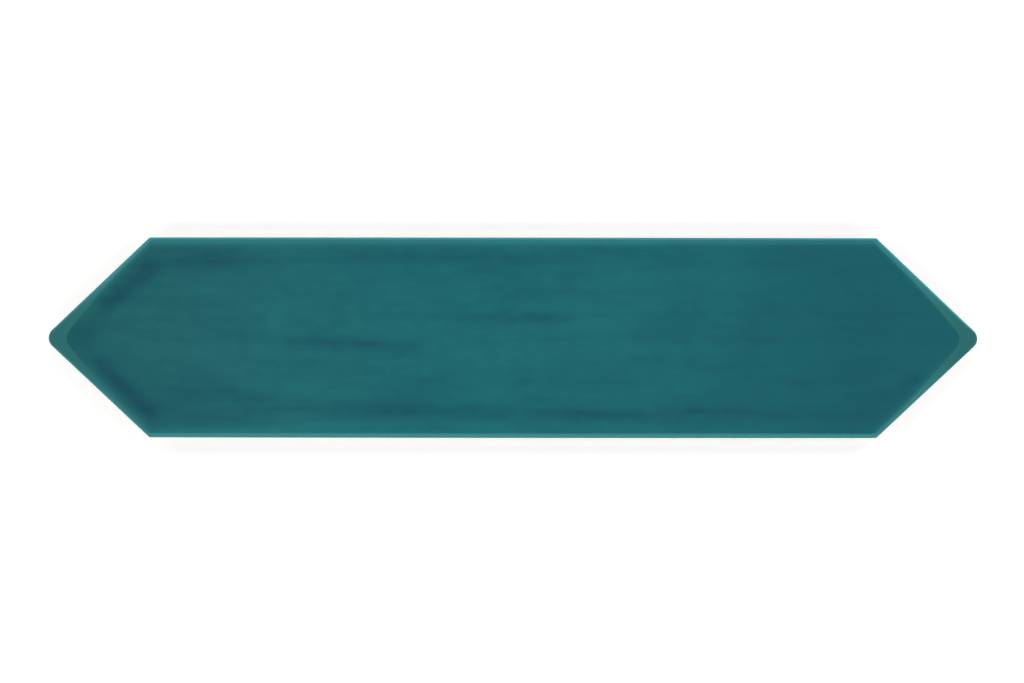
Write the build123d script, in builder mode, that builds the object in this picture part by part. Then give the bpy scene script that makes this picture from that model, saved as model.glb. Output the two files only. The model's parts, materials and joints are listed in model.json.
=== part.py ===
from build123d import *

import os
from math import radians, sin, tan

# A picket wall tile: a long six-sided glazed tile that comes to a point at each end.
# Sizes are in millimetres and angles in degrees. The tile lies on its back. The origin is the
# middle of the back, +X runs from point to point, and +Z comes out of the glazed face.

# Plan of the tile
tile_length = 301.0  # from one rounded point to the other
tile_width = 65.0  # between the two long edges
slant_angle = 43.4  # between each slanted edge and the long axis
tip_radius = 3.6  # rounding of the two points
corner_radius = 0.8  # rounding of the four blunt corners

# Section of the tile
tile_thickness = 8.5  # from the back to the flat field of the face
rim_drop = 0.6  # from the field down to the outer edge of the rim
face_edge_round = 0.4  # edge between the rim and the sides, softened by the glaze
back_edge_round = 0.5  # edge between the sides and the back

# The flat field, inside a sloping rim that is widest at the points
rim_width = 1.6  # along the long edges and at the blunt corners
field_tip_gap = 4.8  # from each point to where the field's slanted edges would meet
field_slant_bow = 1.0  # outward bow of the field's slanted edges
field_tip_radius = 4.5
field_corner_radius = 3.0

# Keying grooves in the back
groove_width = 4.5
groove_depth = 0.6
groove_pitch = 9.0
groove_margin = 6.0  # plain border between the grooves and the edges

# Where the straight edges of the outline would meet
slant = radians(slant_angle)
half_width = tile_width / 2
apex = tile_length / 2 + tip_radius * (1 / sin(slant) - 1)
corner = apex - half_width / tan(slant)

# The same places on the field
field_half_width = half_width - rim_width
field_apex = tile_length / 2 - field_tip_gap
field_corner = corner - rim_width * tan(slant / 2)

rim_foot = tile_thickness - rim_drop


def groove_half_length(offset):
    """Reach of a groove along X, which keeps its margin to the slanted edges."""
    outer_flank = offset + groove_width / 2
    return apex - groove_margin / sin(slant) - outer_flank / tan(slant)


with BuildPart() as picket_tile:
    # Pressed body with upright sides
    with BuildSketch() as outline:
        with BuildLine():
            Polyline((-apex, 0), (-corner, half_width), (corner, half_width), (apex, 0))
            mirror(about=Plane.XZ)
        make_face()
        rows = outline.vertices().group_by(Axis.Y)
        fillet(rows[0] + rows[-1], corner_radius)
        ends = outline.vertices().sort_by(Axis.X)
        fillet((ends[0], ends[-1]), tip_radius)
    extrude(amount=rim_foot)

    # Rim that slopes up from the sides to the field
    with BuildSketch(Plane.XY.offset(rim_foot)):
        add(outline.sketch)
    with BuildSketch(Plane.XY.offset(tile_thickness)) as field:
        with BuildLine():
            SagittaArc((-field_apex, 0), (-field_corner, field_half_width), field_slant_bow)
            Line((-field_corner, field_half_width), (field_corner, field_half_width))
            SagittaArc((field_corner, field_half_width), (field_apex, 0), field_slant_bow)
            mirror(about=Plane.XZ)
        make_face()
        rows = field.vertices().group_by(Axis.Y)
        fillet(rows[0] + rows[-1], field_corner_radius)
        ends = field.vertices().sort_by(Axis.X)
        fillet((ends[0], ends[-1]), field_tip_radius)
    loft(ruled=True)

    # Softened edges
    fillet(picket_tile.edges().filter_by_position(Axis.Z, rim_foot, rim_foot), face_edge_round)
    fillet(picket_tile.edges().group_by(Axis.Z)[0], back_edge_round)

    # Keying grooves in pairs, one on each side of a plain land along the middle
    with BuildSketch():
        offset = groove_pitch / 2
        while offset + groove_width / 2 <= half_width - groove_margin:
            with Locations((0, offset), (0, -offset)):
                SlotOverall(2 * groove_half_length(offset), groove_width)
            offset += groove_pitch
    extrude(amount=groove_depth, mode=Mode.SUBTRACT)

picket_tile.part.label = "picket_tile"
os.makedirs("parts", exist_ok=True)
export_step(picket_tile.part, "parts/picket_tile.step")
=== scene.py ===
import json
import math

import bmesh
import bpy
import numpy as np
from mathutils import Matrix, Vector, noise

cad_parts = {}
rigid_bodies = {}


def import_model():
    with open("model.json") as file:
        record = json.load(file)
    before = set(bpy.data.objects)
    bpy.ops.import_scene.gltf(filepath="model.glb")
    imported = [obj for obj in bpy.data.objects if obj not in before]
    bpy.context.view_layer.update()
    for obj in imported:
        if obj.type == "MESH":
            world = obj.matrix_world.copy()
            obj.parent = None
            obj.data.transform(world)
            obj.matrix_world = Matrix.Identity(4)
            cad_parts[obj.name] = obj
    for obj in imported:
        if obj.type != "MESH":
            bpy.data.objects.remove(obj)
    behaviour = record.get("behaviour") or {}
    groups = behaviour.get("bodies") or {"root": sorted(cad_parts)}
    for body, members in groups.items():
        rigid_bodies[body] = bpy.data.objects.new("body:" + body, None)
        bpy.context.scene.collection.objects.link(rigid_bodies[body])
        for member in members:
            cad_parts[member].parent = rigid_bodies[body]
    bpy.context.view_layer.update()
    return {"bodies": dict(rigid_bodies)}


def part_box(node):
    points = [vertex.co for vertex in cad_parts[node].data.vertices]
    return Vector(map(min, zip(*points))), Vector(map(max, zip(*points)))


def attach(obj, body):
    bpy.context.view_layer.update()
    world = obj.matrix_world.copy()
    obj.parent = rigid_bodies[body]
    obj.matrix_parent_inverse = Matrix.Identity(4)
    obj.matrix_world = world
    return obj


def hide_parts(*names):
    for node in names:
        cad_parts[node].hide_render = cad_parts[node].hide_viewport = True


# A glazed picket wall tile, lying on its back with the glazed face up. Metres, +X from point to point,
# +Z out of the glazed face.
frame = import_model()

MM = 0.001
TILE_NODE = "picket_tile"
TILE_BODY = next(iter(frame["bodies"]))

# Plan and section, with the overall sizes taken from the frame
_, tile_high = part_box(TILE_NODE)
HALF_LENGTH = tile_high[0]
HALF_WIDTH = tile_high[1]
THICKNESS = tile_high[2]
SLANT = math.radians(43.4)
TIP_RADIUS = 3.6 * MM
CORNER_RADIUS = 0.8 * MM
RIM_WIDTH = 1.6 * MM
RIM_DROP = 0.6 * MM
FACE_EDGE_ROUND = 0.4 * MM
BACK_EDGE_ROUND = 0.5 * MM
FIELD_TIP_GAP = 4.8 * MM
FIELD_SLANT_BOW = 1.0 * MM
FIELD_TIP_RADIUS = 4.5 * MM
FIELD_CORNER_RADIUS = 3.0 * MM
APEX = HALF_LENGTH + TIP_RADIUS * (1 / math.sin(SLANT) - 1)
CORNER = APEX - HALF_WIDTH / math.tan(SLANT)
FIELD_APEX = HALF_LENGTH - FIELD_TIP_GAP
FIELD_CORNER = CORNER - RIM_WIDTH * math.tan(SLANT / 2)
FIELD_HALF_WIDTH = HALF_WIDTH - RIM_WIDTH
RIM_FOOT = THICKNESS - RIM_DROP

# Outward bow of the long edges, which leaves the tile a little narrower towards its blunt corners
LONG_EDGE_BOW = 0.08 * MM

# How far the two points lie in front of the tile's long axis, as firing left them
POINT_DROP = 0.22 * MM

# How the rim's top eases into the field: softly along the edges, sharply at the points. The fade says how
# far from the points what is special to them begins and ends to fade.
EASE_ALONG_EDGES = 0.6 * MM
EASE_AT_POINTS = 0.15 * MM
POINT_FADE = (4 * MM, 22 * MM)

# Glaze that runs part of the way down the sides and ends in a wavy lip
GLAZE_LINE = 3.6 * MM
GLAZE_LINE_WAVE = 0.9 * MM
GLAZE_WAVE_PITCH = 14 * MM
QUICK_WAVES_PER_WAVE = 3
QUICK_WAVE_SHARE = 0.35
SLOW_WAVE_SEED = 0.0
QUICK_WAVE_SEED = 7.0
GLAZE_LIP = 0.12 * MM
LIP_BAND = 0.25 * MM

# Keying grooves in the back
GROOVE_WIDTH = 4.5 * MM
GROOVE_DEPTH = 0.6 * MM
GROOVE_PITCH = 9.0 * MM
GROOVE_MARGIN = 6.0 * MM
GROOVE_BEVEL = 0.2 * MM
GROOVE_DRAFT = 0.15 * MM

# Steps of the mesh along a quarter of the outline, over its softened edges and bright line, across the
# field and round the ends of the grooves
LONG_STEPS = 92
CORNER_STEPS = 6
SLANT_STEPS = 38
TIP_STEPS = 10
EDGE_ROUND_STEPS = 4
EDGE_LINE_STEPS = 3
FIELD_ROWS = 76
GROOVE_END_STEPS = 14

# Rings of the mesh up the sides, by share of the bare and of the glazed height. Each glazed ring also has
# the share of the bright line that reaches it.
BARE_SIDE_RINGS = (0.5, 1.0)
GLAZED_SIDE_RINGS = ((0.0, 0.0), (0.4, 0.0), (0.8, 0.2), (1.0, 1.0))

# Rings of the mesh where the rim eases into the field, by share of the ease past the field's edge
EASE_RINGS = (-0.5, 0.0, 0.5, 1.0)

# Edges of the mesh that turn by more than this are shaded as sharp ones
SHARP_ANGLE = math.radians(35)

# Relief of the glaze on the field: broad waves, and marks drawn out along X
WAVE_HEIGHT = 0.05 * MM
WAVE_LENGTH = 34 * MM
WAVE_WIDTH = 21.25 * MM
WAVE_SEED = 11.0
BRUSH_HEIGHT = 0.016 * MM
BRUSH_LENGTH = 40 * MM
BRUSH_WIDTH = 4 * MM
BRUSH_SEED = 5.0
RELIEF_FADE = 4 * MM

# Lighter glaze over the edges of the face: partly thinner glaze, and partly painted light, as the shares that
# differ from side to side stand in for how the light fell on each edge, a painted highlight in the bright
# line and a painted reflection in the rim's colour. For each edge: signs of X and Y on its side, share of the
# rim's colour, how far past the field's edge the full share goes, fade length, and share of the bright line
# along the outermost edge.
EDGE_TINTS_AND_PAINTED_LIGHT = (
    ((0, 1), 0.44, 0.2 * MM, 0.55 * MM, 1.0),
    ((0, -1), 1.0, -0.2 * MM, 0.12 * MM, 0.05),
    ((-1, 1), 0.88, -0.5 * MM, 0.5 * MM, 0.5),
    ((1, 1), 0.72, 0.06 * MM, 0.38 * MM, 0.95),
    ((-1, -1), 0.52, -0.7 * MM, 1.1 * MM, 0.34),
    ((1, -1), 0.76, -0.4 * MM, 0.7 * MM, 0.1),
)

# How far in from the outermost edge the bright line begins and ends to fade, its share at the points, and
# how far from them that share begins and ends to fade
EDGE_LINE = (0.3 * MM, 0.9 * MM)
POINT_LINE = 0.25
POINT_LINE_FADE = (1 * MM, 3 * MM)

# Faint brighter band along the front long edge of the field. From left to right it weakens, by a power of
# the way, and widens between two places.
LIGHT_BAND_LEFT = 0.18
LIGHT_BAND_RIGHT = 0.012
LIGHT_BAND_POWER = 3
LIGHT_BAND_WIDTHS = (1.65 * MM, 3.7 * MM)
LIGHT_BAND_WIDENS = (-74 * MM, -62 * MM)
LIGHT_BAND_SOFTNESS = 0.35
LIGHT_BAND_FADE = 5 * MM

# Brush-like darker streaks in the glaze, in millimetres: start x, end x, y at the start, y at the end, half
# height, and last their strength
STREAKS = (
    (-160, 70, 27, 26.5, 2.6, 0.5),
    (-160, 105, -24, -24, 3.0, 0.42),
    (-50, -17, 26, 25.5, 0.9, 0.55),
    (-97, -48, 0, -1.5, 1.2, 0.45),
    (-52, -29, -2, -3, 1.3, 0.9),
    (-26, 20, 7, 6, 1.2, 0.85),
    (-60, 42, -22, -25.5, 1.6, 0.6),
    (50, 120, -23.8, -25.2, 1.2, 0.45),
    (-66, -28, -25.2, -25.4, 1.3, 0.4),
    (-31, -22, -14.5, -14.5, 0.8, 0.5),
    (-48, -41, -11, -11, 0.7, 0.35),
    (-5, 47, -14, -14.5, 1.0, 0.45),
    (-90, -64, -7.5, -8, 1.0, 0.4),
    (-97, -80, 6, 6.5, 0.9, 0.4),
    (-91, -62, -20, -20.5, 1.1, 0.4),
    (-87, -62, -23.2, -23.4, 0.8, 0.35),
    (-116, -84, 25, 25.5, 2.2, 0.5),
    (-110, -70, -17, -20, 3.6, 0.25),
    (-72, -45, -9, -10, 2.2, 0.35),
    (-62, -40, -22, -22.5, 1.8, 0.35),
    (-60, -27, 22.8, 22.3, 1.8, 0.4),
    (-58, -39, 14, 15, 3.6, 0.3),
    (-4, 16, 25, 25, 0.9, 0.4),
    (25, 41, 11, 11, 0.8, 0.35),
    (76, 102, 25, 25, 1.0, 0.4),
    (75, 102, 0, 0.5, 1.2, 0.35),
    (79, 102, 9, 9.5, 1.0, 0.35),
    (86, 98, 14.8, 15, 0.9, 0.35),
    (50, 61, 11, 12, 3.4, 0.3),
)

# How far the streaks wander, and the shares of their length, from either end, between which they fade in
STREAK_WANDER = 0.8 * MM
STREAK_SEED = 3.0
STREAK_FADE = (-0.12, 0.18)

# Pools of thicker, bluer glaze, in millimetres: start x, start y, end x, end y, half width at the start and
# at the end, and last their strength
POOLS = (
    (-131.5, 10.4, -118, 22, 2.0, 2.6, 0.8),
    (-142, 3, -134, 8.5, 2.6, 2.2, 0.2),
    (-133.5, -9, -117.6, -24.3, 1.9, 2.4, 0.82),
    (-144, -1, -138, 1, 3.0, 3.0, 0.48),
    (127, -14.5, 130, -13, 1.2, 1.2, 0.5),
)


def smooth_step(low, high, value):
    """0 below low, 1 above high, and a smooth rise between them."""
    share = np.clip((value - low) / (high - low), 0, 1)
    return share * share * (3 - 2 * share)


def bell(offset):
    """1 in the middle, and a smooth fall to both sides of it."""
    return np.exp(-0.5 * offset**2)


def bow(height, along):
    """Rise of a shallow arc over its chord, by share of the way along it."""
    return 4 * height * along * (1 - along)


def plan_noise(x, y, seed):
    """Smooth noise between -1 and 1 at each point of a plan."""
    return np.array([noise.noise((px, py, seed)) for px, py in zip(x, y)])


def quarter_outline(apex, corner, half_width, slant_bow, tip_radius, corner_radius):
    """Outline from the middle of a long edge round to the tip, where x and y are positive."""
    run = apex - corner
    chord = math.hypot(run, half_width)
    chord_angle = math.atan2(half_width, run)
    end_turn = 2 * math.atan2(2 * slant_bow, chord)
    corner_angle = chord_angle - end_turn
    tip_angle = chord_angle + end_turn
    corner_cut = corner_radius * math.tan(corner_angle / 2)
    tip_cut = tip_radius / math.tan(tip_angle)

    edge_x = np.linspace(0, corner - corner_cut, LONG_STEPS + 1)[:-1]
    edge = np.stack([edge_x, np.full(LONG_STEPS, half_width)], axis=1)

    turn = np.linspace(math.pi / 2, math.pi / 2 - corner_angle, CORNER_STEPS + 1)[:-1]
    corner_centre = (corner - corner_cut, half_width - corner_radius)
    rounding = corner_centre + corner_radius * np.stack([np.cos(turn), np.sin(turn)], axis=1)

    along = np.linspace(corner_cut / chord, 1 - tip_cut / chord, SLANT_STEPS + 1)[:-1, None]
    start = np.array((corner, half_width))
    chord_step = np.array((run, -half_width))
    outward = np.array((half_width, run)) / chord
    slant = start + along * chord_step + bow(slant_bow, along) * outward

    turn = np.linspace(math.pi / 2 - tip_angle, 0, TIP_STEPS + 1)
    tip_centre = (apex - tip_radius / math.sin(tip_angle), 0)
    tip = tip_centre + tip_radius * np.stack([np.cos(turn), np.sin(turn)], axis=1)
    return np.concatenate([edge, rounding, slant, tip])


def point_drop(x):
    """Shift of the outline towards the front, which grows from the blunt corners to the points."""
    return POINT_DROP * np.clip((np.abs(x) - CORNER) / (APEX - CORNER), 0, 1)


def whole_outline(quarter):
    """Closed outline, anticlockwise from the tip at +X, from its quarter, bowed and dropped as fired."""
    outline = np.concatenate([
        quarter[::-1],
        quarter[1:] * (-1, 1),
        quarter[-2::-1] * (-1, -1),
        quarter[1:-1] * (1, -1),
    ])
    outline[:, 1] *= 1 - LONG_EDGE_BOW / HALF_WIDTH * (outline[:, 0] / CORNER) ** 2
    outline[:, 1] -= point_drop(outline[:, 0])
    return outline


def outward_normals(outline):
    """Unit normals of a closed anticlockwise outline."""
    tangent = np.roll(outline, -1, axis=0) - np.roll(outline, 1, axis=0)
    normal = np.stack([tangent[:, 1], -tangent[:, 0]], axis=1)
    return normal / np.linalg.norm(normal, axis=1, keepdims=True)


def wavy_glaze_line(outline):
    """Height of the glaze's lower edge on the sides, at each point of the outline."""
    x, y = outline.T / GLAZE_WAVE_PITCH
    slow = plan_noise(x, y, SLOW_WAVE_SEED)
    quick = plan_noise(QUICK_WAVES_PER_WAVE * x, QUICK_WAVES_PER_WAVE * y, QUICK_WAVE_SEED)
    return GLAZE_LINE + GLAZE_LINE_WAVE * (slow + QUICK_WAVE_SHARE * quick)


def field_depths(x, y):
    """Distances of points inside each edge of the field, in the order of the edge tints."""
    run = FIELD_APEX - FIELD_CORNER
    chord = math.hypot(run, FIELD_HALF_WIDTH)
    y = y + point_drop(x)
    depths = []
    for (sign_x, sign_y), *_ in EDGE_TINTS_AND_PAINTED_LIGHT:
        inward = FIELD_HALF_WIDTH - sign_y * y
        if sign_x == 0:
            depths.append(inward)
            continue
        along = (run * (sign_x * x - FIELD_CORNER) + FIELD_HALF_WIDTH * inward) / chord**2
        from_chord = (FIELD_HALF_WIDTH * (FIELD_APEX - sign_x * x) - run * sign_y * y) / chord
        depths.append(from_chord + bow(FIELD_SLANT_BOW, along))
    return np.stack(depths)


def near_point(x, near, far):
    """1 up to the near distance from the tile's two points, falling to 0 at the far one."""
    return 1 - smooth_step(near, far, HALF_LENGTH - np.abs(x))


def rim_tint(x, y, on_rim):
    """Share of the rim's colour at each point of the face, which leaves the field towards the points."""
    tint = np.zeros_like(x)
    for depth, (_, share, overlap, fade, _) in zip(field_depths(x, y), EDGE_TINTS_AND_PAINTED_LIGHT):
        past = np.maximum(depth - overlap, 0)
        tint = np.maximum(tint, share * np.exp(-past / fade))
    return tint * (1 - (1 - on_rim) * near_point(x, *POINT_FADE))


def light_band(x, y):
    """Share of the bright line's colour in the band along the front edge of the field."""
    from_right = (1 - x / FIELD_CORNER) / 2
    fall = from_right**LIGHT_BAND_POWER
    strength = LIGHT_BAND_RIGHT + (LIGHT_BAND_LEFT - LIGHT_BAND_RIGHT) * fall
    ends = 1 - smooth_step(FIELD_CORNER - LIGHT_BAND_FADE, FIELD_CORNER, np.abs(x))
    narrow, wide = LIGHT_BAND_WIDTHS
    width = narrow + (wide - narrow) * smooth_step(*LIGHT_BAND_WIDENS, x)
    reach = (FIELD_HALF_WIDTH + y) / width
    return strength * ends * (1 - smooth_step(1 - LIGHT_BAND_SOFTNESS, 1 + LIGHT_BAND_SOFTNESS, reach))


def edge_line(x, y):
    """Strength of the bright line along the outermost edge, at each point of the outline: thinner glaze, and
    a painted highlight that is strongest on the edges that face +Y.
    """
    nearest = field_depths(x, y).argmin(axis=0)
    strengths = np.array([tint[-1] for tint in EDGE_TINTS_AND_PAINTED_LIGHT])[nearest]
    at_point = near_point(x, *POINT_LINE_FADE)
    return strengths * (1 - at_point) + POINT_LINE * at_point


def brush(x, y, seed):
    """Noise drawn out along X, as brushed or curtain-coated glaze leaves it."""
    return plan_noise(x / BRUSH_LENGTH, y / BRUSH_WIDTH, seed)


def streak_strength(x, y):
    """How strongly the placed streaks darken the glaze at each point."""
    wander = STREAK_WANDER * brush(x, y, STREAK_SEED)
    total = np.zeros_like(x)
    for start, end, start_y, end_y, half_height, strength in STREAKS:
        along = (x / MM - start) / (end - start)
        centre = start_y + (end_y - start_y) * np.clip(along, 0, 1)
        across = ((y + wander) / MM - centre) / half_height
        ends = smooth_step(*STREAK_FADE, np.minimum(along, 1 - along))
        total += strength * ends * bell(across)
    return total


def pool_strength(x, y):
    """How strongly the placed pools darken the glaze at each point."""
    total = np.zeros_like(x)
    for start_x, start_y, end_x, end_y, start_width, end_width, strength in POOLS:
        step = np.array((end_x - start_x, end_y - start_y))
        offset = np.stack([x / MM - start_x, y / MM - start_y], axis=1)
        along = np.clip(offset @ step / (step @ step), 0, 1)
        distance = np.linalg.norm(offset - along[:, None] * step, axis=1)
        half_width = start_width + (end_width - start_width) * along
        total += strength * bell(distance / half_width)
    return total


def field_relief(x, y):
    """Height of the glaze's waves on the field, never above the field's plane."""
    waves = plan_noise(x / WAVE_LENGTH, y / WAVE_WIDTH, WAVE_SEED)
    marks = brush(x, y, BRUSH_SEED)
    raised = WAVE_HEIGHT * (waves - 1) / 2 + BRUSH_HEIGHT * (marks - 1) / 2
    return raised * smooth_step(0, RELIEF_FADE, field_depths(x, y).min(axis=0))


class TileMesh:
    """Vertices, faces and glaze values of the tile while it is put together."""

    def __init__(self):
        self.points = []
        self.faces = []
        self.values = {name: [] for name in ("rim", "arris", "point", "streak", "pool", "glazed_height")}
        self.count = 0

    def add(self, plan, height, glazed_height=1.0, **given):
        """Adds points and returns their numbers. The glazed height is above the glaze's edge, in mm."""
        amount = len(plan)
        self.points.append(np.column_stack([plan, np.broadcast_to(height, amount)]))
        given["glazed_height"] = glazed_height
        for name, values in self.values.items():
            values.append(np.broadcast_to(given.get(name, 0.0), amount))
        numbers = np.arange(self.count, self.count + amount)
        self.count += amount
        return numbers

    def join(self, rings):
        """Joins rings of as many points with quads, each ring to the next."""
        for lower, upper in zip(rings, rings[1:]):
            self.faces.extend(zip(lower, np.roll(lower, -1), np.roll(upper, -1), upper))


def rim_slope(outline, field):
    """Angle at which the rim rises from each point of the outline to the field."""
    return np.arctan2(RIM_DROP, np.linalg.norm(field - outline, axis=1))


def edge_round_centre(slope):
    """Height of the centre of the face edge's rounding, where the upright sides end."""
    return RIM_FOOT + FACE_EDGE_ROUND * (np.tan(slope) - 1 / np.cos(slope))


def add_back_and_sides(tile, outline, normals, wall_top):
    """Rounded back edge, bare lower side, glaze lip and glazed upper side. Returns the top ring."""
    glaze_line = wavy_glaze_line(outline)
    bare = outline - normals * GLAZE_LIP
    rings = []
    for turn in np.linspace(0, math.pi / 2, EDGE_ROUND_STEPS + 1):
        plan = bare - normals * BACK_EDGE_ROUND * (1 - math.sin(turn))
        height = np.full(len(plan), BACK_EDGE_ROUND * (1 - math.cos(turn)))
        rings.append((plan, height, 0.0))
    for share in BARE_SIDE_RINGS:
        rings.append((bare, BACK_EDGE_ROUND + share * (glaze_line - LIP_BAND - BACK_EDGE_ROUND), 0.0))
    rings.append(((bare + outline) / 2, glaze_line, 0.0))
    for share, on_edge in GLAZED_SIDE_RINGS:
        rings.append((outline, glaze_line + LIP_BAND + share * (wall_top - glaze_line - LIP_BAND), on_edge))
    line = edge_line(*outline.T)
    numbers = [
        tile.add(plan, height, arris=line * on_edge, glazed_height=(height - glaze_line) / MM)
        for plan, height, on_edge in rings
    ]
    tile.join(numbers)
    return numbers[-1]


def rim_rings(outline, field, normals):
    """Softened outer edge, sloping rim and ease into the field, as plans, heights and shares on the rim."""
    across = field - outline
    width = np.linalg.norm(across, axis=1)
    inward = across / width[:, None]
    slope = rim_slope(outline, field)
    round_centre = edge_round_centre(slope)
    field_normals = outward_normals(field)
    at_point = near_point(outline[:, 0], *POINT_FADE)
    ease = EASE_ALONG_EDGES + (EASE_AT_POINTS - EASE_ALONG_EDGES) * at_point

    # Rounding over the outer edge
    rings = []
    for share in np.linspace(0, 1, EDGE_ROUND_STEPS + 1)[1:]:
        turn = math.pi - share * (math.pi / 2 - slope)
        reach = FACE_EDGE_ROUND * (1 + np.cos(turn))
        height = round_centre + FACE_EDGE_ROUND * np.sin(turn)
        rings.append((outline + inward * reach[:, None], height, 1.0))

    # Slope, with rings at even depths through the bright line's fade
    squareness = -(inward * normals).sum(axis=1)
    line_depths = np.linspace(*EDGE_LINE, EDGE_LINE_STEPS + 1)[1:]
    line_reaches = [depth / squareness for depth in line_depths]
    for reach in (*line_reaches, width - ease):
        rings.append((outline + inward * reach[:, None], RIM_FOOT + reach * np.tan(slope), 1.0))

    # Ease that bends from the slope to the level of the field
    for step in EASE_RINGS:
        past = step * ease
        fall = np.tan(slope) * (ease - past) ** 2 / (4 * ease)
        plan = field + inward * np.minimum(past, 0)[:, None] - field_normals * np.maximum(past, 0)[:, None]
        rings.append((plan, THICKNESS - fall, (1 - step) / 2))
    return rings


def add_rim(tile, outline, field, normals, wall_ring):
    """Joins the rim to the top of the sides. Returns the ring that bounds the field."""
    line = edge_line(*outline.T)
    numbers = [wall_ring]
    for plan, height, on_rim in rim_rings(outline, field, normals):
        depth = ((outline - plan) * normals).sum(axis=1)
        numbers.append(tile.add(
            plan,
            height,
            rim=rim_tint(*plan.T, on_rim),
            arris=line * (1 - smooth_step(*EDGE_LINE, depth)) + (1 - on_rim) * light_band(*plan.T),
            point=on_rim * near_point(plan[:, 0], *POINT_FADE),
        ))
    tile.join(numbers)
    return numbers[-1]


def add_field(tile, bounding_ring):
    """Grid of the field, in columns that run from the upper to the lower half of its bounding ring."""
    total = len(bounding_ring)
    half = total // 2
    plan = np.concatenate(tile.points)[bounding_ring, :2]
    columns = []
    for place in range(1, half):
        line = np.linspace(plan[place], plan[total - place], FIELD_ROWS + 1)[1:-1]
        x, y = line.T
        middle = tile.add(
            line,
            THICKNESS + field_relief(x, y),
            rim=rim_tint(x, y, 0.0),
            arris=light_band(x, y),
            streak=streak_strength(x, y),
            pool=pool_strength(x, y),
        )
        columns.append([bounding_ring[place], *middle, bounding_ring[total - place]])
    for left, right in zip(columns[1:], columns):
        for row in range(FIELD_ROWS):
            tile.faces.append((left[row], left[row + 1], right[row + 1], right[row]))
    for tip, column in ((bounding_ring[0], columns[0]), (bounding_ring[half], columns[-1])):
        for row in range(FIELD_ROWS):
            tile.faces.append((tip, column[row], column[row + 1]))


def slot_outline(half_length, half_width):
    """Closed anticlockwise outline of a slot along X with round ends."""
    turn = np.linspace(-math.pi / 2, math.pi / 2, GROOVE_END_STEPS + 1)
    end = half_width * np.stack([np.cos(turn), np.sin(turn)], axis=1) + (half_length - half_width, 0)
    return np.concatenate([end, -end])


def add_grooves(tile):
    """Keying grooves in pairs, each with a bevelled mouth, drafted walls and a flat floor."""
    half = GROOVE_WIDTH / 2
    # How much wider than the groove each ring is on either side, and its height
    steps = (
        (GROOVE_BEVEL, 0.0),
        (0.0, GROOVE_BEVEL),
        (-GROOVE_DRAFT, GROOVE_DEPTH - GROOVE_BEVEL),
        (-GROOVE_DRAFT - GROOVE_BEVEL, GROOVE_DEPTH),
    )
    offset = GROOVE_PITCH / 2
    while offset + half <= HALF_WIDTH - GROOVE_MARGIN:
        reach = APEX - GROOVE_MARGIN / math.sin(SLANT) - (offset + half) / math.tan(SLANT)
        for side in (offset, -offset):
            numbers = []
            for wider, height in steps:
                plan = slot_outline(reach + wider, half + wider) + (0, side)
                numbers.append(tile.add(plan, height, glazed_height=-GLAZE_LINE / MM))
            tile.join(numbers)
            tile.faces.append(numbers[-1])
        offset += GROOVE_PITCH


def close_back(mesh):
    """Fills the flat of the back between its edge and the grooves' mouths."""
    work = bmesh.new()
    work.from_mesh(mesh)
    open_edges = [edge for edge in work.edges if edge.is_boundary]
    bmesh.ops.triangle_fill(work, use_beauty=True, edges=open_edges)
    bmesh.ops.recalc_face_normals(work, faces=work.faces)
    work.to_mesh(mesh)
    work.free()


def build_tile():
    """The whole tile as one closed mesh with its glaze values."""
    outline = whole_outline(quarter_outline(APEX, CORNER, HALF_WIDTH, 0, TIP_RADIUS, CORNER_RADIUS))
    field = whole_outline(quarter_outline(
        FIELD_APEX, FIELD_CORNER, FIELD_HALF_WIDTH, FIELD_SLANT_BOW, FIELD_TIP_RADIUS, FIELD_CORNER_RADIUS
    ))
    normals = outward_normals(outline)
    wall_top = edge_round_centre(rim_slope(outline, field))

    tile = TileMesh()
    wall_ring = add_back_and_sides(tile, outline, normals, wall_top)
    field_ring = add_rim(tile, outline, field, normals, wall_ring)
    add_field(tile, field_ring)
    add_grooves(tile)

    mesh = bpy.data.meshes.new("glazed_tile")
    faces = [[int(number) for number in face] for face in tile.faces]
    mesh.from_pydata(np.concatenate(tile.points).tolist(), [], faces)
    close_back(mesh)
    for name, parts in tile.values.items():
        layer = mesh.attributes.new(name, "FLOAT", "POINT")
        layer.data.foreach_set("value", np.concatenate(parts).astype(np.float32))
    mesh.shade_smooth()
    mesh.set_sharp_from_angle(angle=SHARP_ANGLE)
    piece = bpy.data.objects.new("glazed_tile", mesh)
    bpy.context.scene.collection.objects.link(piece)
    return piece


def from_screen(red, green, blue):
    """Linear colour with full alpha from sRGB screen values of 0 to 255."""
    def linear(value):
        share = value / 255
        return share / 12.92 if share <= 0.04045 else ((share + 0.055) / 1.055) ** 2.4
    return (linear(red), linear(green), linear(blue), 1.0)


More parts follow.
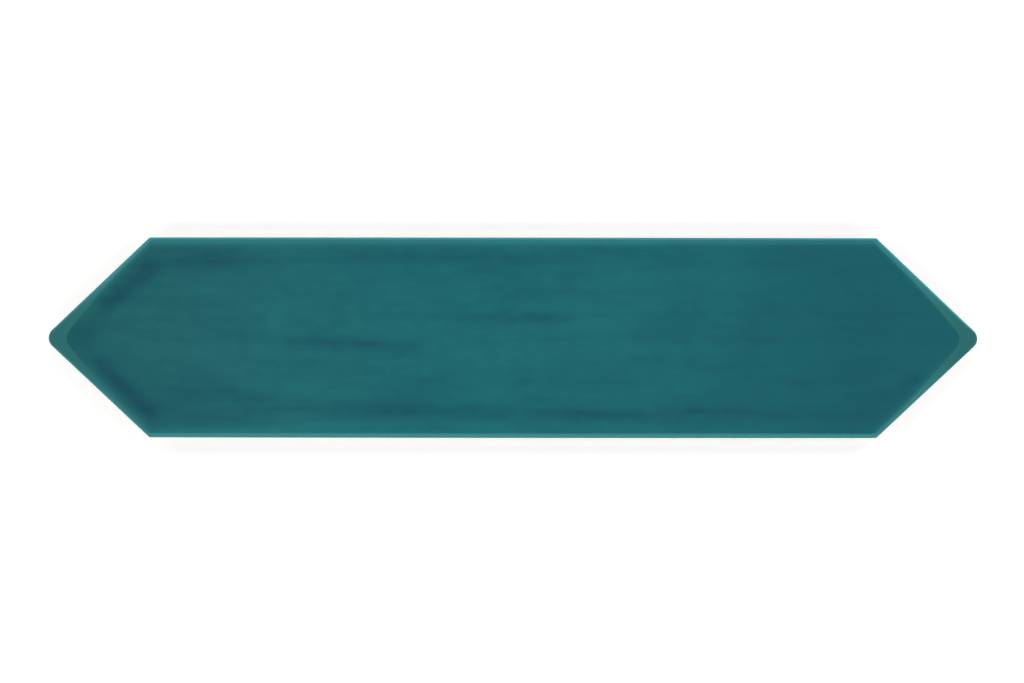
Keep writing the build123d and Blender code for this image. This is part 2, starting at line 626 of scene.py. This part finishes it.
class Nodes:
    """Short calls for putting a node tree together."""

    def __init__(self, tree):
        self.tree = tree

    def add(self, kind, inputs=(), **settings):
        """Adds a node, sets its properties, and sets or links its inputs."""
        node = self.tree.nodes.new(kind)
        for name, value in settings.items():
            setattr(node, name, value)
        for socket, value in dict(inputs).items():
            if isinstance(value, bpy.types.NodeSocket):
                self.tree.links.new(value, node.inputs[socket])
            else:
                node.inputs[socket].default_value = value
        return node

    def math(self, operation, *numbers):
        """A sum, product or other operation on numbers."""
        return self.add("ShaderNodeMath", enumerate(numbers), operation=operation).outputs[0]

    def mix(self, share, first, second):
        """A colour between two colours."""
        node = self.add("ShaderNodeMix", {0: share, 6: first, 7: second}, data_type="RGBA")
        return node.outputs[2]

    def blend(self, share, first, second):
        """A number between two numbers."""
        node = self.add("ShaderNodeMix", {0: share, 2: first, 3: second}, data_type="FLOAT")
        return node.outputs[0]

    def value(self, name):
        """A glaze value that the mesh carries."""
        return self.add("ShaderNodeAttribute", attribute_name=name).outputs["Fac"]

    def step(self, value, low, high):
        """0 below low, 1 above high, and a smooth rise between them."""
        node = self.add(
            "ShaderNodeMapRange", {0: value, 1: low, 2: high}, interpolation_type="SMOOTHSTEP"
        )
        return node.outputs[0]

    def ramp(self, value, stops):
        """A colour that runs through these stops of place and colour."""
        node = self.add("ShaderNodeValToRGB", {0: value})
        elements = node.color_ramp.elements
        for place, color in stops[1:-1]:
            elements.new(place).color = color
        for element, (place, color) in zip((elements[0], elements[-1]), (stops[0], stops[-1])):
            element.position = place
            element.color = color
        return node.outputs[0]

    def noise(self, coordinates, sizes, detail):
        """Noise whose spots have these sizes along X, Y and Z."""
        scaled = self.add("ShaderNodeMapping", {"Vector": coordinates, "Scale": [1 / s for s in sizes]})
        node = self.add(
            "ShaderNodeTexNoise", {"Vector": scaled.outputs[0], "Scale": 1.0, "Detail": detail}
        )
        return node.outputs["Fac"]


# Field colours from the left point to the right one, by share of the length
FIELD_TONES = (
    (0.05, from_screen(34, 99, 100)),
    (0.14, from_screen(34, 100, 104)),
    (0.25, from_screen(34, 106, 110)),
    (0.42, from_screen(30, 105, 110)),
    (0.60, from_screen(31, 106, 112)),
    (0.72, from_screen(30, 102, 109)),
    (0.86, from_screen(27, 94, 102)),
)
POOL_COLOR = from_screen(24, 72, 88)
# Rim colour: thinner, lighter glaze with a painted whitish reflection in it
RIM_GLAZE_AND_REFLECTION_COLOR = from_screen(58, 134, 134)
POINT_COLOR = from_screen(44, 105, 104)
# Bright edge line: thin glaze over the clay, brightened further as a painted highlight
EDGE_LINE_AND_HIGHLIGHT_COLOR = from_screen(44, 160, 164)
CLAY_LIGHT = from_screen(222, 208, 188)
CLAY_DARK = from_screen(198, 178, 154)
WHITE = (1.0, 1.0, 1.0, 1.0)

# Noise of the glaze and the clay: sizes of its spots along X, Y and Z, and its detail
BRUSH_MARKS = {"sizes": (32 * MM, 3.4 * MM, 3.4 * MM), "detail": 3.0}
CLOUDS = {"sizes": (24 * MM, 12 * MM, 12 * MM), "detail": 3.0}
MOTTLE = {"sizes": (5 * MM, 3 * MM, 3 * MM), "detail": 2.0}
GLOSS_DRIFT = {"sizes": (20 * MM, 6 * MM, 6 * MM), "detail": 2.0}
RIPPLES = {"sizes": (6 * MM, 3 * MM, 3 * MM), "detail": 2.0}
GRAIN = {"sizes": (0.6 * MM, 0.6 * MM, 0.6 * MM), "detail": 4.0}
STAINS = {"sizes": (30 * MM, 18 * MM, 18 * MM), "detail": 3.0}

# What thickens the glaze: the range over which each noise sets in, and the weight of each layer in the mix
# towards the colour of the pools
BRUSH_MARK_RANGE = (0.45, 0.75)
CLOUD_RANGE = (0.4, 0.75)
MOTTLE_RANGE = (0.3, 0.7)
STREAK_WEIGHT = 0.39
POOL_WEIGHT = 0.75
BRUSH_MARK_WEIGHT = 0.16
CLOUD_WEIGHT = 0.2
MOTTLE_WEIGHT = 0.13

# Strength of the placed streaks between the brush marks, which add to it
STREAK_BASE = 0.45

# Heights above the glaze's edge, in millimetres, between which glaze gives way to bare clay
GLAZE_TO_CLAY = (0.08, -0.08)

# Finish of the glaze and the clay, with the ripples of the glaze as a share of the clay's grain
GLAZE_ROUGHNESS = (0.07, 0.15)
CLAY_ROUGHNESS = 0.9
GLAZE_IOR = 1.5
RIPPLE_SHARE = 0.12
GRAIN_STRENGTH = 0.35
GRAIN_DEPTH = 0.15 * MM


def glaze_color(nodes, place, brushed):
    """Teal glaze: drifting tone, bluer where it is thick, lighter over the rim where it thins and where a
    reflection and a highlight are painted in.
    """
    x = nodes.add("ShaderNodeSeparateXYZ", {0: place}).outputs[0]
    along = nodes.add("ShaderNodeMapRange", {0: x, 1: -HALF_LENGTH, 2: HALF_LENGTH}).outputs[0]
    tone = nodes.ramp(along, FIELD_TONES)

    cloud = nodes.noise(place, **CLOUDS)
    mottle = nodes.noise(place, **MOTTLE)
    streaks = nodes.math("MULTIPLY", nodes.value("streak"), nodes.math("ADD", STREAK_BASE, brushed))
    layers = (
        (streaks, STREAK_WEIGHT),
        (nodes.value("pool"), POOL_WEIGHT),
        (nodes.step(brushed, *BRUSH_MARK_RANGE), BRUSH_MARK_WEIGHT),
        (nodes.step(cloud, *CLOUD_RANGE), CLOUD_WEIGHT),
        (nodes.step(mottle, *MOTTLE_RANGE), MOTTLE_WEIGHT),
    )
    thick = 0.0
    for layer, weight in layers:
        thick = nodes.math("MULTIPLY_ADD", layer, weight, thick)
    field = nodes.mix(thick, tone, POOL_COLOR)
    over_rim = nodes.mix(nodes.value("rim"), field, RIM_GLAZE_AND_REFLECTION_COLOR)
    over_points = nodes.mix(nodes.value("point"), over_rim, POINT_COLOR)
    # Bright edge line: thinner glaze, with a painted highlight
    return nodes.mix(nodes.value("arris"), over_points, EDGE_LINE_AND_HIGHLIGHT_COLOR)


def glazed_clay():
    """Glossy teal glaze over a pale fired clay that stays bare on the back and the lower sides."""
    material = bpy.data.materials.new("teal_glaze")
    material.use_nodes = True
    material.node_tree.nodes.clear()
    nodes = Nodes(material.node_tree)
    place = nodes.add("ShaderNodeTexCoord").outputs["Object"]

    brushed = nodes.noise(place, **BRUSH_MARKS)
    bare = nodes.step(nodes.value("glazed_height"), *GLAZE_TO_CLAY)
    grain = nodes.noise(place, **GRAIN)
    stain = nodes.noise(place, **STAINS)
    clay_tone = nodes.math("MULTIPLY", nodes.math("ADD", grain, stain), 0.5)
    clay = nodes.mix(clay_tone, CLAY_DARK, CLAY_LIGHT)
    color = nodes.mix(bare, glaze_color(nodes, place, brushed), clay)

    glaze_roughness = nodes.blend(nodes.noise(place, **GLOSS_DRIFT), *GLAZE_ROUGHNESS)
    roughness = nodes.blend(bare, glaze_roughness, CLAY_ROUGHNESS)

    ripple = nodes.math("MULTIPLY", nodes.noise(place, **RIPPLES), RIPPLE_SHARE)
    relief = nodes.blend(bare, ripple, grain)
    bump = nodes.add(
        "ShaderNodeBump", {"Height": relief, "Strength": GRAIN_STRENGTH, "Distance": GRAIN_DEPTH}
    )
    shader = nodes.add(
        "ShaderNodeBsdfPrincipled",
        {"Base Color": color, "Roughness": roughness, "IOR": GLAZE_IOR, "Normal": bump.outputs[0]},
    )
    nodes.add("ShaderNodeOutputMaterial", {"Surface": shader.outputs[0]})
    return material


# Floor of the studio, and its glow, which only the camera and reflections see: near the tile, far from it,
# and the distances between which it changes
FLOOR_GAP = 0.2 * MM
FLOOR_RADIUS = 2.6
SWEEP_RADIUS = 0.6
STAGE_STEPS = 64
SWEEP_STEPS = 12
MERGE_DISTANCE = 0.01 * MM
FLOOR_COLOR = (0.88, 0.88, 0.88, 1.0)
FLOOR_GLOW_NEAR = 0.28
FLOOR_GLOW_FAR = 0.8
FLOOR_GLOW_REACH = (0.35, 1.3)

# Surround, whose light changes with the height of the direction, and lamps, with headings and elevations in
# degrees
SURROUND_LOW = 0.35
SURROUND_HIGH = 0.06
SURROUND_FADE = (0.15, 0.65)
LAMP_DISTANCE = 1.7
SOFT_BOX_HEADINGS = (0, 45, 90, 135, 180, 225, 270, 315)
SOFT_BOX = {"elevation": 45, "width": 0.5, "height": 0.5, "power": 4.0}
STRIP_HEADINGS = (30, 62, 118, 150, 210, 242, 298, 330)
STRIP = {"elevation": 32, "width": 0.12, "height": 0.7, "power": 1.3}

# Camera, which frames the tile as the photo does. The photo's width, the tile's middle and the photo's middle
# are in pixels.
PHOTO_WIDTH = 1024
PIXELS_PER_MM = 3.0865
TILE_IN_PHOTO = (512.9, 337.75)
PHOTO_MIDDLE = (512.0, 341.5)
LENS = 100.0
SENSOR = 36.0
NEAREST_SEEN = 0.01
CAMERA_ROLL = math.radians(0.065)


def stage_material():
    """Pale matt floor that glows to the camera and in reflections, so that it shows as white."""
    material = bpy.data.materials.new("studio_floor")
    material.use_nodes = True
    material.node_tree.nodes.clear()
    nodes = Nodes(material.node_tree)
    path = nodes.add("ShaderNodeLightPath")
    seen = nodes.math("MAXIMUM", path.outputs["Is Camera Ray"], path.outputs["Is Glossy Ray"])
    seen = nodes.math("MAXIMUM", seen, path.outputs["Is Transmission Ray"])
    place = nodes.add("ShaderNodeTexCoord").outputs["Object"]
    reach = nodes.add("ShaderNodeVectorMath", {0: place}, operation="LENGTH").outputs["Value"]
    glow = nodes.blend(nodes.step(reach, *FLOOR_GLOW_REACH), FLOOR_GLOW_NEAR, FLOOR_GLOW_FAR)
    shader = nodes.add(
        "ShaderNodeBsdfPrincipled",
        {
            "Base Color": FLOOR_COLOR,
            "Roughness": 1.0,
            "Specular IOR Level": 0.0,
            "Emission Color": WHITE,
            "Emission Strength": nodes.math("MULTIPLY", seen, glow),
        },
    )
    nodes.add("ShaderNodeOutputMaterial", {"Surface": shader.outputs[0]})
    return material


def build_stage():
    """Round floor whose edge sweeps up, so that low views end in it too."""
    profile = [(0.0, 0.0), (FLOOR_RADIUS, 0.0)]
    for turn in np.linspace(0, math.pi / 2, SWEEP_STEPS + 1)[1:]:
        profile.append((FLOOR_RADIUS + SWEEP_RADIUS * math.sin(turn), SWEEP_RADIUS * (1 - math.cos(turn))))
    work = bmesh.new()
    line = [work.verts.new((radius, 0.0, height - FLOOR_GAP)) for radius, height in profile]
    edges = [work.edges.new(pair) for pair in zip(line, line[1:])]
    bmesh.ops.spin(
        work, geom=line + edges, axis=(0, 0, 1), cent=(0, 0, 0), angle=math.tau, steps=STAGE_STEPS
    )
    bmesh.ops.remove_doubles(work, verts=work.verts, dist=MERGE_DISTANCE)
    bmesh.ops.recalc_face_normals(work, faces=work.faces)
    mesh = bpy.data.meshes.new("studio_floor")
    work.to_mesh(mesh)
    work.free()
    mesh.shade_smooth()
    mesh.materials.append(stage_material())
    floor = bpy.data.objects.new("studio_floor", mesh)
    bpy.context.scene.collection.objects.link(floor)
    return floor


def add_lamp(name, heading, elevation, width, height, power):
    """Lamp that faces the tile, with its heading in degrees from +X and its elevation in degrees."""
    data = bpy.data.lights.new(name, "AREA")
    data.shape = "RECTANGLE"
    data.size = width
    data.size_y = height
    data.energy = power
    turn = math.radians(heading)
    rise = math.radians(elevation)
    away = Vector((math.cos(rise) * math.cos(turn), math.cos(rise) * math.sin(turn), math.sin(rise)))
    lamp = bpy.data.objects.new(name, data)
    lamp.location = LAMP_DISTANCE * away
    lamp.rotation_euler = (-away).to_track_quat("-Z", "Y").to_euler()
    bpy.context.scene.collection.objects.link(lamp)
    return lamp


def light_studio():
    """Soft boxes that the glaze doesn't mirror, strips that it does, and a surround darker overhead."""
    for heading in SOFT_BOX_HEADINGS:
        add_lamp("soft_box", heading, **SOFT_BOX).visible_glossy = False
    for heading in STRIP_HEADINGS:
        add_lamp("strip_box", heading, **STRIP)
    world = bpy.data.worlds.new("studio_surround")
    world.use_nodes = True
    world.node_tree.nodes.clear()
    nodes = Nodes(world.node_tree)
    direction = nodes.add("ShaderNodeTexCoord").outputs["Generated"]
    height = nodes.add("ShaderNodeSeparateXYZ", {0: direction}).outputs[2]
    level = nodes.blend(nodes.step(height, *SURROUND_FADE), SURROUND_LOW, SURROUND_HIGH)
    background = nodes.add("ShaderNodeBackground", {"Color": WHITE, "Strength": level})
    nodes.add("ShaderNodeOutputWorld", {"Surface": background.outputs[0]})
    bpy.context.scene.world = world


def add_camera():
    """Camera straight above the tile, framed as the photo is."""
    data = bpy.data.cameras.new("camera")
    data.lens = LENS
    data.sensor_width = SENSOR
    data.clip_start = NEAREST_SEEN
    view_width = PHOTO_WIDTH / PIXELS_PER_MM * MM
    camera = bpy.data.objects.new("camera", data)
    camera.location = (
        (PHOTO_MIDDLE[0] - TILE_IN_PHOTO[0]) / PIXELS_PER_MM * MM,
        (TILE_IN_PHOTO[1] - PHOTO_MIDDLE[1]) / PIXELS_PER_MM * MM,
        RIM_FOOT + view_width * LENS / SENSOR,
    )
    camera.rotation_euler = (0.0, 0.0, CAMERA_ROLL)
    bpy.context.scene.collection.objects.link(camera)
    bpy.context.scene.camera = camera


tile_piece = build_tile()
tile_piece.data.materials.append(glazed_clay())
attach(tile_piece, TILE_BODY)
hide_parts(TILE_NODE)

build_stage()
light_studio()
add_camera()
bpy.context.scene.view_settings.view_transform = "Standard"
